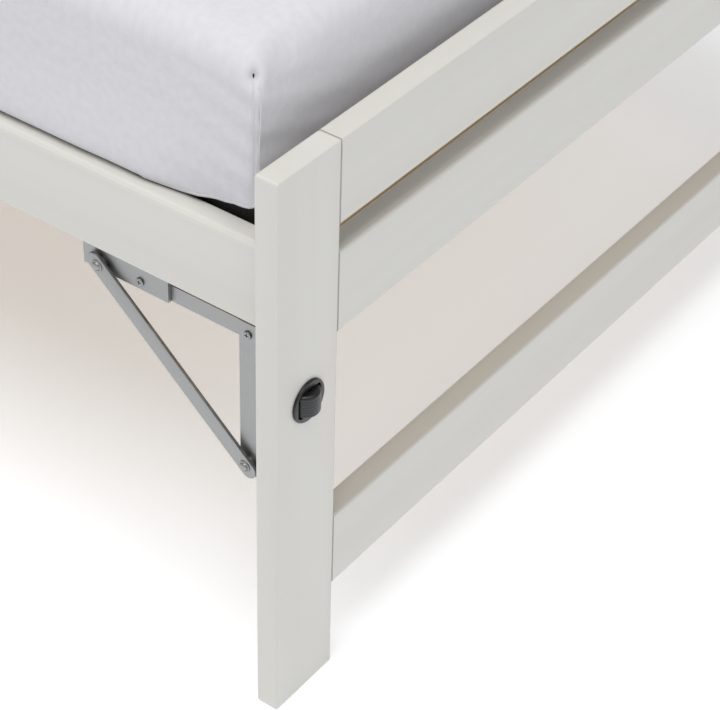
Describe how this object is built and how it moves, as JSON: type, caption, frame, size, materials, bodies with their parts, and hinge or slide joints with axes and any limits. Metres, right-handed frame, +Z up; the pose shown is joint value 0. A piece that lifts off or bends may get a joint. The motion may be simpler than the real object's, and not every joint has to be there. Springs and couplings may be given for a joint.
{
  "type": "trundle bed",
  "caption": "Low single bed with slatted base and mattress; both end frames fold flat under the base on steel linkages and then roll on recessed rollers.",
  "frame": {"origin": "centre of the footprint, on the floor", "axes": "+X along the bed towards the foot end, +Y towards its right side, +Z up"},
  "size_m": [1.989, 0.96, 0.5716],
  "materials": {
    "painted_wood": "satin off-white paint on planed pine",
    "bare_wood": "planed bare pine",
    "steel": "satin zinc plate",
    "roller_plastic": "moulded black nylon",
    "mattress_cover": "smooth fine cotton sheet over a dark mattress cover"
  },
  "bodies": {
    "base": {"mattress": "mattress_cover", "left_side_rail": "painted_wood", "left_slat_ledge": "painted_wood", "right_side_rail": "painted_wood", "right_slat_ledge": "painted_wood", "foot_cross_rail": "painted_wood", "head_cross_rail": "painted_wood", "slat_01": "bare_wood", "slat_02": "bare_wood", "slat_03": "bare_wood", "slat_04": "bare_wood", "slat_05": "bare_wood", "slat_06": "bare_wood", "slat_07": "bare_wood", "slat_08": "bare_wood", "slat_09": "bare_wood", "slat_10": "bare_wood", "slat_11": "bare_wood", "foot_left_rail_bracket": "steel", "foot_left_rail_pivot_pin": "steel", "foot_right_rail_bracket": "steel", "foot_right_rail_pivot_pin": "steel", "head_left_rail_bracket": "steel", "head_left_rail_pivot_pin": "steel", "head_right_rail_bracket": "steel", "head_right_rail_pivot_pin": "steel"},
    "foot_frame": {"foot_top_board": "painted_wood", "foot_second_board": "painted_wood", "foot_stretcher": "painted_wood", "foot_left_post": "painted_wood", "foot_left_post_angle": "steel", "foot_left_post_pivot_pin": "steel", "foot_left_roller_housing": "roller_plastic", "foot_right_post": "painted_wood", "foot_right_post_angle": "steel", "foot_right_post_pivot_pin": "steel", "foot_right_roller_housing": "roller_plastic"},
    "foot_left_link": {"foot_left_link": "steel"},
    "foot_left_strut": {"foot_left_strut": "steel"},
    "foot_left_roller": {"foot_left_roller": "roller_plastic"},
    "foot_right_link": {"foot_right_link": "steel"},
    "foot_right_strut": {"foot_right_strut": "steel"},
    "foot_right_roller": {"foot_right_roller": "roller_plastic"},
    "head_frame": {"head_top_board": "painted_wood", "head_second_board": "painted_wood", "head_stretcher": "painted_wood", "head_left_post": "painted_wood", "head_left_post_angle": "steel", "head_left_post_pivot_pin": "steel", "head_left_roller_housing": "roller_plastic", "head_right_post": "painted_wood", "head_right_post_angle": "steel", "head_right_post_pivot_pin": "steel", "head_right_roller_housing": "roller_plastic"},
    "head_left_link": {"head_left_link": "steel"},
    "head_left_strut": {"head_left_strut": "steel"},
    "head_left_roller": {"head_left_roller": "roller_plastic"},
    "head_right_link": {"head_right_link": "steel"},
    "head_right_strut": {"head_right_strut": "steel"},
    "head_right_roller": {"head_right_roller": "roller_plastic"}
  },
  "joints": [
    {"name": "foot_fold", "type": "hinge", "parent": "base", "child": "foot_left_link", "pos_m": [0.843, -0.4552, 0.3437], "axis": [0, 1, 0], "range_deg": [0, 180]},
    {"name": "foot_right_link_turn", "type": "hinge", "parent": "base", "child": "foot_right_link", "pos_m": [0.843, 0.4552, 0.3437], "axis": [0, 1, 0], "range_deg": [0, 180]},
    {"name": "foot_frame_turn", "type": "hinge", "parent": "foot_left_link", "child": "foot_frame", "pos_m": [0.943, 0, 0.3437], "axis": [0, 1, 0], "range_deg": [-90, 0]},
    {"name": "foot_left_strut_turn", "type": "hinge", "parent": "base", "child": "foot_left_strut", "pos_m": [0.8055, -0.4637, 0.3437], "axis": [0, 1, 0], "range_deg": [0, 138.9]},
    {"name": "foot_right_strut_turn", "type": "hinge", "parent": "base", "child": "foot_right_strut", "pos_m": [0.8055, 0.4637, 0.3437], "axis": [0, 1, 0], "range_deg": [0, 138.9]},
    {"name": "foot_left_roller_spin", "type": "hinge", "parent": "foot_frame", "child": "foot_left_roller", "pos_m": [0.98275, -0.445, 0.296], "axis": [0, 0, 1], "continuous": true},
    {"name": "foot_right_roller_spin", "type": "hinge", "parent": "foot_frame", "child": "foot_right_roller", "pos_m": [0.98275, 0.445, 0.296], "axis": [0, 0, 1], "continuous": true},
    {"name": "head_fold", "type": "hinge", "parent": "base", "child": "head_left_link", "pos_m": [-0.843, -0.4552, 0.3437], "axis": [0, -1, 0], "range_deg": [0, 180]},
    {"name": "head_right_link_turn", "type": "hinge", "parent": "base", "child": "head_right_link", "pos_m": [-0.843, 0.4552, 0.3437], "axis": [0, -1, 0], "range_deg": [0, 180]},
    {"name": "head_frame_turn", "type": "hinge", "parent": "head_left_link", "child": "head_frame", "pos_m": [-0.943, 0, 0.3437], "axis": [0, -1, 0], "range_deg": [-90, 0]},
    {"name": "head_left_strut_turn", "type": "hinge", "parent": "base", "child": "head_left_strut", "pos_m": [-0.8055, -0.4637, 0.3437], "axis": [0, -1, 0], "range_deg": [0, 138.9]},
    {"name": "head_right_strut_turn", "type": "hinge", "parent": "base", "child": "head_right_strut", "pos_m": [-0.8055, 0.4637, 0.3437], "axis": [0, -1, 0], "range_deg": [0, 138.9]},
    {"name": "head_left_roller_spin", "type": "hinge", "parent": "head_frame", "child": "head_left_roller", "pos_m": [-0.98275, -0.445, 0.296], "axis": [0, 0, 1], "continuous": true},
    {"name": "head_right_roller_spin", "type": "hinge", "parent": "head_frame", "child": "head_right_roller", "pos_m": [-0.98275, 0.445, 0.296], "axis": [0, 0, 1], "continuous": true}
  ],
  "couplings": [
    {"joint": "foot_right_link_turn", "follows": "foot_fold", "ratio": 1},
    {"joint": "foot_frame_turn", "follows": "foot_fold", "ratio": -0.5},
    {"joint": "foot_left_strut_turn", "follows": "foot_fold", "ratio": 0.7716},
    {"joint": "foot_right_strut_turn", "follows": "foot_fold", "ratio": 0.7716},
    {"joint": "head_right_link_turn", "follows": "head_fold", "ratio": 1},
    {"joint": "head_frame_turn", "follows": "head_fold", "ratio": -0.5},
    {"joint": "head_left_strut_turn", "follows": "head_fold", "ratio": 0.7716},
    {"joint": "head_right_strut_turn", "follows": "head_fold", "ratio": 0.7716}
  ]
}
